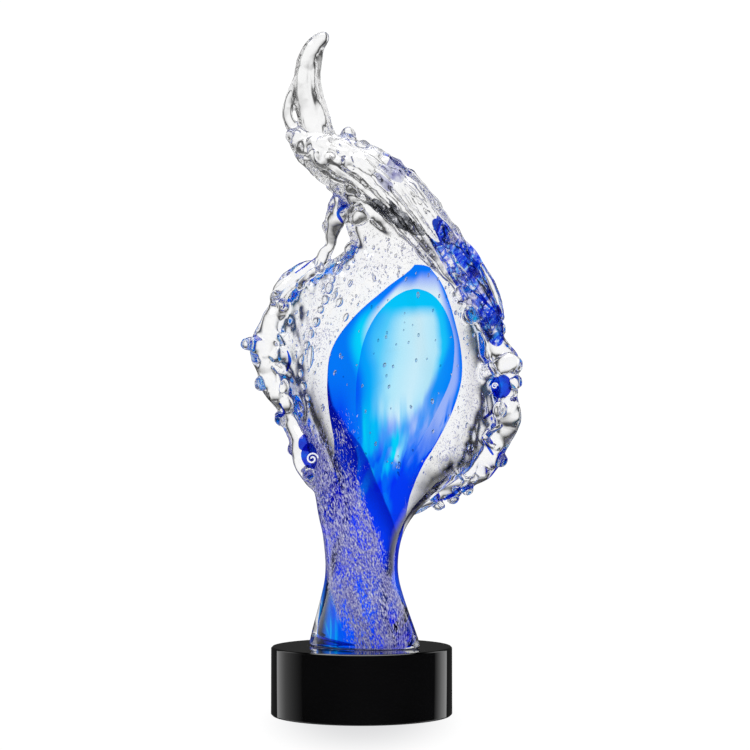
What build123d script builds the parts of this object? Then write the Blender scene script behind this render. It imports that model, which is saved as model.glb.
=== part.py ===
from build123d import *

import math
import os

# A hot-worked glass wave on a round black crystal base.
#
# The glass is a twisted stem that opens into a broad lens-shaped leaf, with lumpy trails along its
# edges, a breaking crest over the top and a curled horn. Inside the clear outer gather lie a veil of
# frit, a blue gather and its turquoise heart. Each gather and each hot-joined bit is a solid of its
# own. Lengths are millimetres. +Z is up, -Y is the front, and the origin is the middle of the base's
# underside.

# Driving sizes
base_diameter = 101.6
base_height = 38.0
base_chamfer = 0.8
bond_thickness = 0.3
bond_inset = 1.5
glass_height = 347.0
glass_width = 160.0
glass_depth = 48.0
web_edge_thickness = 7.0
veil_thickness = 1.2
rim_thickness = 12.0
crest_width = 32.0
crest_thickness = 32.0
horn_thickness = 17.0
bead_diameter = 10.0

# Each half of a gather's outline has this many steps from tip to tip, and meets the other half at
# the tips with this lean in degrees
outline_steps = 8
tip_lean = 5

# Each stretch between two rows of a trail's table is built in this many steps
trail_steps = 2

foot_level = base_height + bond_thickness

# The leaf's stations, from the foot up: height, middle and half length as shares of the glass's
# height and width, half thickness as a share of its depth, turn in degrees, and how lens-like the
# section is, from 0 for an ellipse to 1 for a lens with thin edges.
body_shares = [
    (0.000, 0.010, 0.210, 0.500, 150, 0.0),
    (0.035, 0.006, 0.203, 0.480, 134, 0.0),
    (0.080, 0.002, 0.188, 0.450, 114, 0.0),
    (0.125, 0.000, 0.158, 0.425, 92, 0.0),
    (0.170, 0.003, 0.168, 0.440, 70, 0.0),
    (0.210, 0.018, 0.200, 0.460, 46, 0.1),
    (0.250, 0.057, 0.240, 0.475, 25, 0.2),
    (0.290, 0.106, 0.306, 0.490, 10, 0.4),
    (0.330, 0.125, 0.350, 0.500, 3, 0.5),
    (0.380, 0.123, 0.388, 0.500, 0, 0.6),
    (0.430, 0.100, 0.406, 0.490, 0, 0.6),
    (0.480, 0.066, 0.403, 0.460, 0, 0.6),
    (0.530, 0.066, 0.378, 0.415, 0, 0.6),
    (0.575, 0.067, 0.330, 0.355, 0, 0.6),
    (0.615, 0.100, 0.242, 0.285, 0, 0.5),
    (0.650, 0.120, 0.168, 0.220, 0, 0.4),
    (0.680, 0.103, 0.159, 0.190, 0, 0.2),
    (0.710, 0.075, 0.150, 0.170, 0, 0.1),
    (0.740, 0.0375, 0.0875, 0.140, 0, 0.0),
]

# The blue gather at the same stations: middle and half length as shares of the glass's width, and
# half thickness as a share of its depth. It stops below the crest.
core_shares = [
    (0.010, 0.140, 0.330),
    (0.006, 0.134, 0.315),
    (0.002, 0.122, 0.290),
    (0.000, 0.103, 0.275),
    (0.003, 0.109, 0.285),
    (0.012, 0.120, 0.300),
    (0.028, 0.130, 0.315),
    (0.058, 0.146, 0.335),
    (0.088, 0.172, 0.350),
    (0.112, 0.212, 0.355),
    (0.128, 0.238, 0.345),
    (0.133, 0.232, 0.315),
    (0.154, 0.192, 0.270),
    (0.200, 0.128, 0.190),
    (0.248, 0.045, 0.080),
]

# The heart inside the blue gather: station, middle, half length, half thickness
heart_shares = [
    (6, 0.050, 0.030, 0.080),
    (7, 0.072, 0.070, 0.190),
    (8, 0.096, 0.100, 0.240),
    (9, 0.122, 0.132, 0.260),
    (10, 0.146, 0.156, 0.255),
    (11, 0.158, 0.152, 0.230),
    (12, 0.184, 0.112, 0.165),
    (13, 0.218, 0.044, 0.070),
]

# The veil covers the blue gather up to this share of the glass's height
veil_top_share = 0.330

# The trails follow the leaf's edge from one station to another. Each row is the station, the push
# outwards and the wave in depth as shares of the trail's thickness, and its radius as a share too.
left_rim_shares = [
    (6.0, -0.45, 0.03, 0.28),
    (6.5, -0.10, 0.03, 0.42),
    (7.2, 0.02, -0.12, 0.48),
    (8.0, -0.06, -0.27, 0.46),
    (9.0, -0.05, 0.23, 0.44),
    (9.6, 0.14, 0.45, 0.56),
    (10.3, 0.10, 0.13, 0.60),
    (11.0, 0.13, -0.32, 0.62),
    (11.7, 0.05, -0.42, 0.54),
    (12.4, 0.00, 0.03, 0.46),
    (13.0, 0.20, 0.33, 0.54),
    (13.6, 0.42, 0.23, 0.50),
    (14.1, 0.30, 0.08, 0.46),
]
right_rim_shares = [
    (5.0, -0.50, 0.00, 0.28),
    (5.5, 0.00, 0.10, 0.38),
    (6.0, 0.10, 0.20, 0.44),
    (6.6, 0.25, 0.00, 0.60),
    (7.2, 0.22, -0.34, 0.62),
    (8.0, 0.08, -0.40, 0.52),
    (8.7, 0.18, 0.10, 0.62),
    (9.4, 0.00, 0.35, 0.50),
    (10.0, 0.16, 0.25, 0.56),
    (10.6, 0.30, -0.10, 0.62),
    (11.2, 0.14, -0.06, 0.52),
    (12.0, 0.06, 0.20, 0.32),
]

# The link of drops from the left trail up to the crest: place as shares of the glass's width,
# depth and height, and radius as a share of the trail's thickness
link_shares = [
    (-0.028, -0.180, 0.744, 0.48),
    (-0.070, -0.180, 0.718, 0.54),
    (-0.092, -0.140, 0.692, 0.50),
    (-0.105, -0.100, 0.668, 0.34),
    (-0.110, -0.070, 0.650, 0.24),
    (-0.135, -0.030, 0.632, 0.30),
]

# The breaking crest: place as shares of the glass's width, depth and height, then half width and
# half thickness as shares of the crest's own. The blue shoulder comes first, and the clear crest
# takes over at the shoulder's last row.
shoulder_shares = [
    (0.470, 0.000, 0.484, 0.11, 0.12),
    (0.440, 0.070, 0.530, 0.30, 0.32),
    (0.378, 0.060, 0.580, 0.36, 0.40),
    (0.300, 0.000, 0.632, 0.43, 0.47),
    (0.216, -0.080, 0.682, 0.48, 0.52),
]
crest_shares = [
    (0.126, -0.160, 0.725, 0.50, 0.55),
    (0.022, -0.220, 0.760, 0.47, 0.52),
    (-0.092, -0.250, 0.786, 0.40, 0.45),
    (-0.178, -0.230, 0.806, 0.29, 0.34),
    (-0.232, -0.210, 0.822, 0.14, 0.17),
]

# The horn and its side strand: place as shares of the glass's width, depth and height, and radius
# as a share of the horn's thickness
horn_shares = [
    (-0.130, -0.230, 0.800, 0.54),
    (-0.168, -0.210, 0.848, 0.50),
    (-0.190, -0.190, 0.888, 0.46),
    (-0.196, -0.150, 0.922, 0.41),
    (-0.186, -0.110, 0.952, 0.36),
    (-0.162, -0.070, 0.974, 0.29),
    (-0.128, -0.060, 0.991, 0.17),
]
strand_shares = [
    (-0.208, -0.200, 0.944, 0.08),
    (-0.236, -0.215, 0.908, 0.15),
    (-0.258, -0.235, 0.878, 0.17),
    (-0.260, -0.260, 0.854, 0.18),
    (-0.236, -0.250, 0.834, 0.22),
    (-0.200, -0.230, 0.816, 0.16),
]

# Fingers pulled from the rims: place as shares of the glass's width, depth and height, and radius
# as a share of the rim's thickness
spur_shares = [
    (-0.300, -0.100, 0.488, 0.46),
    (-0.356, -0.220, 0.494, 0.52),
    (-0.396, -0.280, 0.492, 0.38),
    (-0.424, -0.290, 0.486, 0.26),
]
knob_shares = [
    (0.395, -0.080, 0.428, 0.30),
    (0.455, -0.260, 0.444, 0.38),
    (0.508, -0.290, 0.456, 0.52),
    (0.543, -0.250, 0.450, 0.42),
]

# Drops: the row of the trail's table that each sits at, the angle round the trail in degrees from
# the back, its reach from the trail's line as a share of the trail's own radius there, and the
# drop's radius as a share of the bead's diameter
crest_bead_shares = [
    (6.98, -84, 1.24, 0.50),
    (7.84, -176, 0.84, 0.46),
]
link_bead_shares = [
    (1.40, -106, 0.92, 0.42),
    (2.40, -88, 0.96, 0.40),
]
left_bead_shares = [
    (10.95, 147, 0.85, 0.42),
    (5.72, 136, 1.20, 0.46),
    (3.72, 132, 1.22, 0.42),
    (2.80, 62, 0.88, 0.38),
]
right_bead_shares = [
    (6.06, -166, 1.28, 0.44),
    (4.46, -130, 1.05, 0.46),
    (2.86, -124, 1.11, 0.38),
    (2.32, -115, 1.30, 0.40),
    (1.60, -101, 1.30, 0.36),
]

# The row of the left trail's table where the link of drops takes root, and the share of the
# trail's radius that its root has
link_root_shares = (11.7, 0.6)

# The path's direction at a drop is taken over this much of a row to either side
seat_step = 0.1


def between(rows, place):
    """A row part way between two rows of a table, on the smooth curve through its rows.

    At the share t of the way from row b to row c, with a before them and d after, each value is
    half of 2b + (c - a)t + (2a - 5b + 4c - d)t^2 + (3b - a - 3c + d)t^3.
    """
    last = len(rows) - 1
    i = min(int(place), last - 1)
    t = place - i
    nearby = [rows[min(max(i + step, 0), last)] for step in (-1, 0, 1, 2)]
    return [
        (2 * b + (c - a) * t + (2 * a - 5 * b + 4 * c - d) * t**2 + (3 * b - a - 3 * c + d) * t**3) / 2
        for a, b, c, d in zip(*nearby)
    ]


def placed(x, y, z):
    """A point of the glass from its shares of the width, depth and height."""
    return (x * glass_width, y * glass_depth, foot_level + z * glass_height)


def section(station, middle, half_length, half_thickness):
    """A level section of a gather at one of the leaf's stations, as a closed face.

    At angle a the outline is half_length cos a along the leaf, and its half thickness follows
    sin a, drawn in towards the web edge by the station's lens power. The two halves meet at thin
    tips, and the whole section is turned with the leaf.
    """
    height, _, _, _, turn, lens = body_shares[station]
    edge = min(web_edge_thickness / 2, half_thickness)
    points = []
    for i in range(2 * outline_steps + 1):
        angle = math.pi * i / outline_steps
        along = half_length * math.cos(angle)
        fullness = abs(math.sin(angle)) ** lens
        across = math.sin(angle) * (edge + (half_thickness - edge) * fullness)
        points.append(Vector(middle, 0) + Vector(along, across).rotate(Axis.Z, turn))
    with BuildSketch(Plane.XY.offset(foot_level + height * glass_height)) as outline:
        with BuildLine():
            for side in (0, 1):
                half = points[side * outline_steps : (side + 1) * outline_steps + 1]
                setting_out = Vector(0, 1).rotate(Axis.Z, turn + 180 * side + tip_lean)
                coming_in = Vector(0, -1).rotate(Axis.Z, turn + 180 * side - tip_lean)
                Spline(*half, tangents=(setting_out, coming_in))
        make_face()
    return outline.sketch


def gather(rows, growth=0):
    """A gather of glass, lofted through its level sections.

    Each row is the leaf's station, the middle, the half length and the half thickness, and growth
    is added to the two half sizes, so that one gather can be laid over another.
    """
    sections = [
        section(
            station,
            middle * glass_width,
            half_length * glass_width + growth,
            half_thickness * glass_depth + growth,
        )
        for station, middle, half_length, half_thickness in rows
    ]
    with BuildPart() as shape:
        loft(sections)
    return shape.part


def trail(stations):
    """A lumpy trail of glass, from station to station through ellipses square to its path.

    Each station is x, y, z, a half width across the path in the upright plane and a half
    thickness in depth.
    """
    count = (len(stations) - 1) * trail_steps
    rows = [between(stations, i / trail_steps) for i in range(count + 1)]
    places = [Vector(*row[:3]) for row in rows]
    with BuildPart() as shape:
        for i, (*_, half_width, half_thickness) in enumerate(rows):
            along = places[min(i + 1, count)] - places[max(i - 1, 0)]
            deep = Vector(0, 1, 0) - along * (along.Y / along.dot(along))
            with BuildSketch(Plane(origin=places[i], x_dir=deep, z_dir=along)):
                Ellipse(half_thickness, half_width)
        loft(ruled=True)
    return shape.part


def rim_stations(shares, side):
    """Stations of a trail along the leaf's left edge (side -1) or right edge (side 1)."""
    stations = []
    for row, push, wave, radius in shares:
        height, middle, half_length, _, turn, _ = between(body_shares, row)
        reach = side * (half_length * glass_width + push * rim_thickness)
        x = middle * glass_width + reach * math.cos(math.radians(turn))
        y = wave * rim_thickness + reach * math.sin(math.radians(turn))
        size = radius * rim_thickness
        stations.append((x, y, foot_level + height * glass_height, size, size))
    return stations


def round_stations(shares, thickness):
    """Stations of a round trail from a table of places and radii."""
    return [(*placed(x, y, z), radius * thickness, radius * thickness) for x, y, z, radius in shares]


def link_stations():
    """Stations of the link of drops, whose last is its root inside the left trail."""
    row, size = link_root_shares
    *root, half_width, half_thickness = between(rim_stations(left_rim_shares, -1), row)
    root_station = (*root, half_width * size, half_thickness * size)
    return round_stations(link_shares, rim_thickness) + [root_station]


def seat(stations, row, angle, reach):
    """The middle of a drop beside a trail, at the given row of its stations.

    It lies reach times the trail's own half sizes from its line, at the angle round the line.
    """
    *middle, half_width, half_thickness = between(stations, row)
    before, after = (Vector(*between(stations, row + step)[:3]) for step in (-seat_step, seat_step))
    along = (after - before).normalized()
    deep = (Vector(0, 1, 0) - along * along.Y).normalized()
    side = along.cross(deep)
    turn = math.radians(angle)
    inwards = deep * (reach * half_thickness * math.cos(turn))
    sideways = side * (reach * half_width * math.sin(turn))
    return Vector(*middle) + inwards + sideways


def crest_stations():
    """Stations of the whole crest, blue shoulder and clear crest together."""
    return [
        (*placed(x, y, z), width * crest_width, thickness * crest_thickness)
        for x, y, z, width, thickness in shoulder_shares + crest_shares
    ]


def crest_joint_plane():
    """The plane across the crest where the blue shoulder meets the clear crest."""
    rows = (*shoulder_shares[-2:], crest_shares[0])
    before, joint, after = (Vector(*placed(*row[:3])) for row in rows)
    return Plane(origin=joint, z_dir=after - before)


os.makedirs("parts", exist_ok=True)

# Base
with BuildPart() as base_block:
    Cylinder(base_diameter / 2, base_height, align=(Align.CENTER, Align.CENTER, Align.MIN))
    chamfer(base_block.edges().filter_by(GeomType.CIRCLE), base_chamfer)
base_block.part.label = "base_block"
export_step(base_block.part, "parts/base_block.step")

# Film that holds the glass to the base, a little inside the foot's outline
foot_middle, foot_half_length, foot_half_thickness = body_shares[0][1:4]
film_outline = section(
    0,
    foot_middle * glass_width,
    foot_half_length * glass_width - bond_inset,
    foot_half_thickness * glass_depth - bond_inset,
)
with BuildPart() as bond_film:
    extrude(film_outline, amount=-bond_thickness)
bond_film.part.label = "bond_film"
export_step(bond_film.part, "parts/bond_film.step")

# Blanks, each a whole form before its neighbours are cut out of it
core_rows = [(station, *row) for station, row in enumerate(core_shares)]
heart_blank = gather(heart_shares)
core_blank = gather(core_rows)
with BuildPart() as veil_form:
    add(gather(core_rows, veil_thickness))
    split(bisect_by=Plane.XY.offset(foot_level + veil_top_share * glass_height), keep=Keep.BOTTOM)
veil_blank = veil_form.part
body_blank = gather([(station, *row[1:4]) for station, row in enumerate(body_shares)])
left_rim_blank = trail(rim_stations(left_rim_shares, -1))
right_rim_blank = trail(rim_stations(right_rim_shares, 1))
crest_blank = trail(crest_stations())
horn_blank = trail(round_stations(horn_shares, horn_thickness))
strand_blank = trail(round_stations(strand_shares, horn_thickness))
spur_blank = trail(round_stations(spur_shares, rim_thickness))
knob_blank = trail(round_stations(knob_shares, rim_thickness))
link_blank = trail(link_stations())

# Heart, the innermost gather
with BuildPart() as aqua_heart:
    add(heart_blank)
aqua_heart.part.label = "aqua_heart"
export_step(aqua_heart.part, "parts/aqua_heart.step")

# Blue gather round the heart
with BuildPart() as cobalt_core:
    add(core_blank)
    add(heart_blank, mode=Mode.SUBTRACT)
cobalt_core.part.label = "cobalt_core"
export_step(cobalt_core.part, "parts/cobalt_core.step")

# Veil of frit and fine bubbles over the blue gather in the stem
with BuildPart() as frit_veil:
    add(veil_blank)
    add(core_blank, mode=Mode.SUBTRACT)
frit_veil.part.label = "frit_veil"
export_step(frit_veil.part, "parts/frit_veil.step")

# Clear outer gather, stem and leaf in one
with BuildPart() as clear_body:
    add(body_blank)
    for neighbour in (core_blank, veil_blank):
        add(neighbour, mode=Mode.SUBTRACT)
clear_body.part.label = "clear_body"
export_step(clear_body.part, "parts/clear_body.step")

# Trail along the left edge
with BuildPart() as left_rim:
    add(left_rim_blank)
    add(body_blank, mode=Mode.SUBTRACT)
left_rim.part.label = "left_rim"
export_step(left_rim.part, "parts/left_rim.step")

# Trail along the right edge
with BuildPart() as right_rim:
    add(right_rim_blank)
    add(body_blank, mode=Mode.SUBTRACT)
right_rim.part.label = "right_rim"
export_step(right_rim.part, "parts/right_rim.step")

# Link of drops from the left trail to the crest
with BuildPart() as left_link:
    add(link_blank)
    for neighbour in (left_rim_blank, body_blank, crest_blank):
        add(neighbour, mode=Mode.SUBTRACT)
left_link.part.label = "left_link"
export_step(left_link.part, "parts/left_link.step")

# Blue shoulder of the crest
with BuildPart() as shoulder_band:
    add(crest_blank)
    split(bisect_by=crest_joint_plane(), keep=Keep.BOTTOM)
    for neighbour in (body_blank, right_rim_blank):
        add(neighbour, mode=Mode.SUBTRACT)
shoulder_band.part.label = "shoulder_band"
export_step(shoulder_band.part, "parts/shoulder_band.step")

# Clear breaking crest
with BuildPart() as crest_band:
    add(crest_blank)
    split(bisect_by=crest_joint_plane(), keep=Keep.TOP)
    add(body_blank, mode=Mode.SUBTRACT)
crest_band.part.label = "crest_band"
export_step(crest_band.part, "parts/crest_band.step")

# Curled horn on the crest
with BuildPart() as horn:
    add(horn_blank)
    add(crest_blank, mode=Mode.SUBTRACT)
horn.part.label = "horn"
export_step(horn.part, "parts/horn.step")

# Thin strand beside the horn, with a drop at its foot
with BuildPart() as horn_strand:
    add(strand_blank)
    for neighbour in (horn_blank, crest_blank):
        add(neighbour, mode=Mode.SUBTRACT)
horn_strand.part.label = "horn_strand"
export_step(horn_strand.part, "parts/horn_strand.step")

# Finger pulled from the left trail
with BuildPart() as left_spur:
    add(spur_blank)
    for neighbour in (left_rim_blank, body_blank):
        add(neighbour, mode=Mode.SUBTRACT)
left_spur.part.label = "left_spur"
export_step(left_spur.part, "parts/left_spur.step")

# Finger with a knob, pulled from the right trail
with BuildPart() as right_knob:
    add(knob_blank)
    for neighbour in (right_rim_blank, body_blank, crest_blank):
        add(neighbour, mode=Mode.SUBTRACT)
right_knob.part.label = "right_knob"
export_step(right_knob.part, "parts/right_knob.step")

# Drops on the crest, the link and the two trails, each a solid of its own, seated on what carries it
for group, first, shares, stations, carriers in (
    ("crest_bead", 1, crest_bead_shares, crest_stations(), [crest_blank, horn_blank]),
    ("left_bead", 1, link_bead_shares, link_stations(), [link_blank]),
    ("left_bead", 3, left_bead_shares, rim_stations(left_rim_shares, -1), [left_rim_blank]),
    ("right_bead", 1, right_bead_shares, rim_stations(right_rim_shares, 1), [right_rim_blank]),
):
    for number, (row, angle, reach, radius) in enumerate(shares, start=first):
        with BuildPart() as bead:
            with Locations(seat(stations, row, angle, reach)):
                Sphere(radius * bead_diameter)
            for carrier in carriers:
                add(carrier, mode=Mode.SUBTRACT)
        bead.part.label = f"{group}_{number}"
        export_step(bead.part, f"parts/{group}_{number}.step")
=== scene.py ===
import math

import bpy
import numpy as np
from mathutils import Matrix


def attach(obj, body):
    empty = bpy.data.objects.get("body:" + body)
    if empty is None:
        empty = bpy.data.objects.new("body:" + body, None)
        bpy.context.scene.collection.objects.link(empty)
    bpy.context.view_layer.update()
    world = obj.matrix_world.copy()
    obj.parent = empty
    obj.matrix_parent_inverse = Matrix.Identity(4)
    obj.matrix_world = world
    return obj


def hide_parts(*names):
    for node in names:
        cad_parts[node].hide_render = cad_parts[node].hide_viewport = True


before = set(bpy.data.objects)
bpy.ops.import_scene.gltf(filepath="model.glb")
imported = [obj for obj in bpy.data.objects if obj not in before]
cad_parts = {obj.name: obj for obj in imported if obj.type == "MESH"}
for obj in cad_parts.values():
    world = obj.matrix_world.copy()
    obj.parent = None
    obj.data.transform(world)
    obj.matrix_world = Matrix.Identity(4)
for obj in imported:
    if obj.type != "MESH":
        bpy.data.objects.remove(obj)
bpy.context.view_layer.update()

# Sizes of the glass and its base, in metres, as the solids have them
base_radius = 0.0508
base_height = 0.038
base_chamfer = 0.0008
foot_level = 0.0383
glass_height = 0.347
glass_width = 0.160
glass_depth = 0.048
web_edge = 0.007
rim_size = 0.012
crest_width = 0.032
crest_thickness = 0.032
horn_size = 0.017
bead_size = 0.010

# The grain that the clear skin is melted at, the veil's distance from the blue gather, both in
# metres, and how flat the lumps and the blue eyes are pressed in depth
skin_grain = 0.00111
veil_gap = 0.0006
lump_flatness = 0.6
eye_flatness = 0.45

# Waves in the clear skin: depth and length in metres, and what their random draws start from
skin_waves = [(0.00050, 0.011, 31), (0.00014, 0.0050, 32)]

# Heights in metres between which the waves in the casing come and go: out of the smooth stem, over
# the top of the blue gather, up to the crest and into the horn
stem_fade = (0.115, 0.145)
gather_fade = (0.270, 0.285)
crest_fade = (0.262, 0.282)
horn_fade = (0.325, 0.340)

# The leaf's stations from the foot up: height, middle, half length, half thickness, turn, lens power
leaf_shares = [
    (0.000, 0.010, 0.210, 0.500, 150, 0.0),
    (0.035, 0.006, 0.203, 0.480, 134, 0.0),
    (0.080, 0.002, 0.188, 0.450, 114, 0.0),
    (0.125, 0.000, 0.158, 0.425, 92, 0.0),
    (0.170, 0.003, 0.168, 0.440, 70, 0.0),
    (0.210, 0.018, 0.200, 0.460, 46, 0.1),
    (0.250, 0.057, 0.240, 0.475, 25, 0.2),
    (0.290, 0.106, 0.306, 0.490, 10, 0.4),
    (0.330, 0.125, 0.350, 0.500, 3, 0.5),
    (0.380, 0.123, 0.388, 0.500, 0, 0.6),
    (0.430, 0.100, 0.406, 0.490, 0, 0.6),
    (0.480, 0.066, 0.403, 0.460, 0, 0.6),
    (0.530, 0.066, 0.378, 0.415, 0, 0.6),
    (0.575, 0.067, 0.330, 0.355, 0, 0.6),
    (0.615, 0.100, 0.242, 0.285, 0, 0.5),
    (0.650, 0.120, 0.168, 0.220, 0, 0.4),
    (0.680, 0.103, 0.159, 0.190, 0, 0.2),
    (0.710, 0.075, 0.150, 0.170, 0, 0.1),
    (0.740, 0.0375, 0.0875, 0.140, 0, 0.0),
]

# The blue gather and its heart at the leaf's stations: middle, half length, half thickness. The
# gather is looked up to a hair under its last station, and the heart's table starts at a later one.
core_shares = [
    (0.010, 0.140, 0.330),
    (0.006, 0.134, 0.315),
    (0.002, 0.122, 0.290),
    (0.000, 0.103, 0.275),
    (0.003, 0.109, 0.285),
    (0.010, 0.114, 0.300),
    (0.022, 0.120, 0.315),
    (0.050, 0.136, 0.335),
    (0.082, 0.166, 0.350),
    (0.103, 0.204, 0.355),
    (0.115, 0.224, 0.345),
    (0.121, 0.216, 0.315),
    (0.147, 0.168, 0.270),
    (0.184, 0.100, 0.190),
    (0.212, 0.030, 0.080),
]
core_top = 13.99
heart_start = 6
heart_shares = [
    (0.050, 0.030, 0.080),
    (0.072, 0.070, 0.190),
    (0.096, 0.100, 0.240),
    (0.122, 0.132, 0.260),
    (0.146, 0.156, 0.255),
    (0.160, 0.156, 0.235),
    (0.172, 0.146, 0.215),
    (0.186, 0.130, 0.190),
]

# Trails on the leaf's edges: station, push outwards, wave in depth, radius
left_rim_shares = [
    (6.0, -0.45, 0.03, 0.28), (6.5, -0.10, 0.03, 0.42), (7.2, 0.02, -0.12, 0.48),
    (8.0, -0.06, -0.27, 0.46), (9.0, -0.05, 0.23, 0.44), (9.6, 0.14, 0.45, 0.56),
    (10.3, 0.10, 0.13, 0.60), (11.0, 0.13, -0.32, 0.62), (11.7, 0.05, -0.42, 0.54),
    (12.4, 0.00, 0.03, 0.46), (13.0, 0.20, 0.33, 0.54), (13.6, 0.42, 0.23, 0.50),
    (14.1, 0.30, 0.08, 0.46),
]
right_rim_shares = [
    (5.0, -0.50, 0.00, 0.28), (5.5, 0.00, 0.10, 0.38), (6.0, 0.10, 0.20, 0.44), (6.6, 0.25, 0.00, 0.60),
    (7.2, 0.22, -0.34, 0.62), (8.0, 0.08, -0.40, 0.52), (8.7, 0.18, 0.10, 0.62), (9.4, 0.00, 0.35, 0.50),
    (10.0, 0.16, 0.25, 0.56), (10.6, 0.30, -0.10, 0.62), (11.2, 0.14, -0.06, 0.52),
    (12.0, 0.06, 0.20, 0.32),
]

# Free trails and drops: place as shares of the glass's width, depth and height, and radius as a
# share of their own kind's size. The crest, which starts in the shoulder, has a half width and a
# half thickness instead.
link_shares = [
    (-0.028, -0.180, 0.744, 0.48),
    (-0.070, -0.180, 0.718, 0.54),
    (-0.092, -0.140, 0.692, 0.50),
    (-0.105, -0.100, 0.668, 0.34),
    (-0.110, -0.070, 0.650, 0.24),
    (-0.135, -0.030, 0.632, 0.30),
    (-0.160, -0.010, 0.606, 0.30),
]
crest_shares = [
    (0.470, 0.000, 0.484, 0.11, 0.12),
    (0.440, 0.070, 0.530, 0.30, 0.32),
    (0.378, 0.060, 0.580, 0.36, 0.40),
    (0.300, 0.000, 0.632, 0.43, 0.47),
    (0.216, -0.080, 0.682, 0.48, 0.52),
    (0.126, -0.160, 0.725, 0.50, 0.55),
    (0.022, -0.220, 0.760, 0.47, 0.52),
    (-0.092, -0.250, 0.786, 0.40, 0.45),
    (-0.178, -0.230, 0.806, 0.29, 0.34),
    (-0.232, -0.210, 0.822, 0.14, 0.17),
]
horn_shares = [
    (-0.130, -0.230, 0.800, 0.54),
    (-0.168, -0.210, 0.848, 0.50),
    (-0.190, -0.190, 0.888, 0.46),
    (-0.196, -0.150, 0.922, 0.41),
    (-0.186, -0.110, 0.954, 0.38),
    (-0.162, -0.070, 0.980, 0.31),
    (-0.120, -0.060, 0.998, 0.21),
]
strand_shares = [
    (-0.208, -0.200, 0.944, 0.08),
    (-0.236, -0.215, 0.908, 0.15),
    (-0.258, -0.235, 0.878, 0.17),
    (-0.260, -0.260, 0.854, 0.18),
    (-0.236, -0.250, 0.834, 0.22),
    (-0.200, -0.230, 0.816, 0.16),
]
spur_shares = [
    (-0.300, -0.100, 0.486, 0.46),
    (-0.350, -0.180, 0.486, 0.40),
    (-0.390, -0.230, 0.487, 0.31),
    (-0.424, -0.240, 0.484, 0.26),
]
knob_shares = [
    (0.395, -0.080, 0.428, 0.30),
    (0.455, -0.260, 0.444, 0.38),
    (0.508, -0.290, 0.456, 0.52),
    (0.543, -0.250, 0.450, 0.42),
]
drop_shares = [
    (-0.046, -0.210, 0.826, 0.50),
    (-0.170, -0.436, 0.806, 0.46),
    (-0.352, -0.056, 0.424, 0.46),
    (-0.281, -0.069, 0.367, 0.42),
    (-0.240, -0.100, 0.318, 0.38),
    (0.534, -0.146, 0.372, 0.44),
    (0.486, -0.083, 0.300, 0.46),
    (0.375, 0.200, 0.252, 0.38),
    (0.325, 0.300, 0.238, 0.40),
    (0.274, 0.402, 0.226, 0.36),
]

# Lumps of clear glass on the two edges: place as shares, radius as a share of the bead's size, how
# much taller than wide, and lean in degrees
lump_shares = [
    (-0.101, -0.167, 0.712, 0.37, 1, 0), (-0.045, -0.250, 0.715, 0.25, 1, 0),
    (-0.118, -0.125, 0.680, 0.42, 1, 0), (0.001, -0.292, 0.694, 0.51, 1.6, 60),
    (-0.277, -0.167, 0.547, 0.34, 1.8, 5), (-0.316, -0.215, 0.479, 0.30, 2.3, -14),
    (-0.348, -0.225, 0.481, 0.22, 2.5, -14), (-0.329, -0.042, 0.518, 0.45, 1.2, 20),
    (-0.284, -0.188, 0.472, 0.42, 1, 0), (-0.291, -0.167, 0.446, 0.25, 2.2, -50),
    (-0.350, -0.083, 0.453, 0.39, 1, 0), (-0.329, -0.062, 0.428, 0.39, 1.2, 0),
    (-0.305, -0.062, 0.407, 0.37, 1.2, 0), (-0.277, -0.146, 0.419, 0.25, 1.8, 10),
    (-0.259, -0.083, 0.389, 0.39, 1, 0), (-0.291, -0.021, 0.372, 0.22, 1.3, -40),
    (-0.259, -0.042, 0.355, 0.31, 1.3, -40), (-0.217, -0.083, 0.347, 0.39, 1, 0),
    (-0.231, -0.062, 0.321, 0.34, 1.8, -5), (-0.217, -0.062, 0.294, 0.31, 1.2, 0),
    (-0.192, -0.021, 0.273, 0.28, 1.5, -25), (-0.178, -0.130, 0.305, 0.80, 1.3, -10),
    (-0.227, 0.000, 0.485, 0.34, 1, 0), (-0.252, -0.062, 0.509, 0.39, 1.6, 30),
    (-0.199, -0.062, 0.599, 0.28, 1.8, 40),
    (0.532, -0.250, 0.453, 0.56, 1, 0), (0.542, -0.104, 0.427, 0.39, 1.2, 0),
    (0.518, -0.125, 0.378, 0.67, 1.3, 0), (0.483, -0.250, 0.380, 0.39, 1.4, 10),
    (0.497, -0.083, 0.344, 0.45, 1, 0), (0.469, -0.062, 0.321, 0.34, 1.2, -20),
    (0.447, -0.062, 0.299, 0.45, 1.2, -10), (0.423, -0.083, 0.282, 0.39, 1, 0),
    (0.395, -0.062, 0.270, 0.28, 1, 0), (0.363, 0.000, 0.263, 0.25, 1.2, 40),
    (0.335, 0.042, 0.250, 0.28, 1.4, -40), (0.321, 0.042, 0.234, 0.18, 1, 0),
    (0.282, 0.062, 0.226, 0.22, 1.3, -60), (0.258, 0.042, 0.240, 0.34, 1.2, 0),
    (0.458, -0.042, 0.420, 0.34, 1.5, 0), (0.433, -0.083, 0.399, 0.34, 1.6, 10),
    (0.440, -0.125, 0.355, 0.34, 1.5, 30), (0.402, 0.000, 0.613, 0.34, 1, 0),
    (0.486, -0.042, 0.518, 0.34, 1.6, -30), (0.385, -0.270, 0.534, 0.46, 1.3, -25),
    (0.350, -0.240, 0.566, 0.36, 1.4, -30),
]

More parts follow.
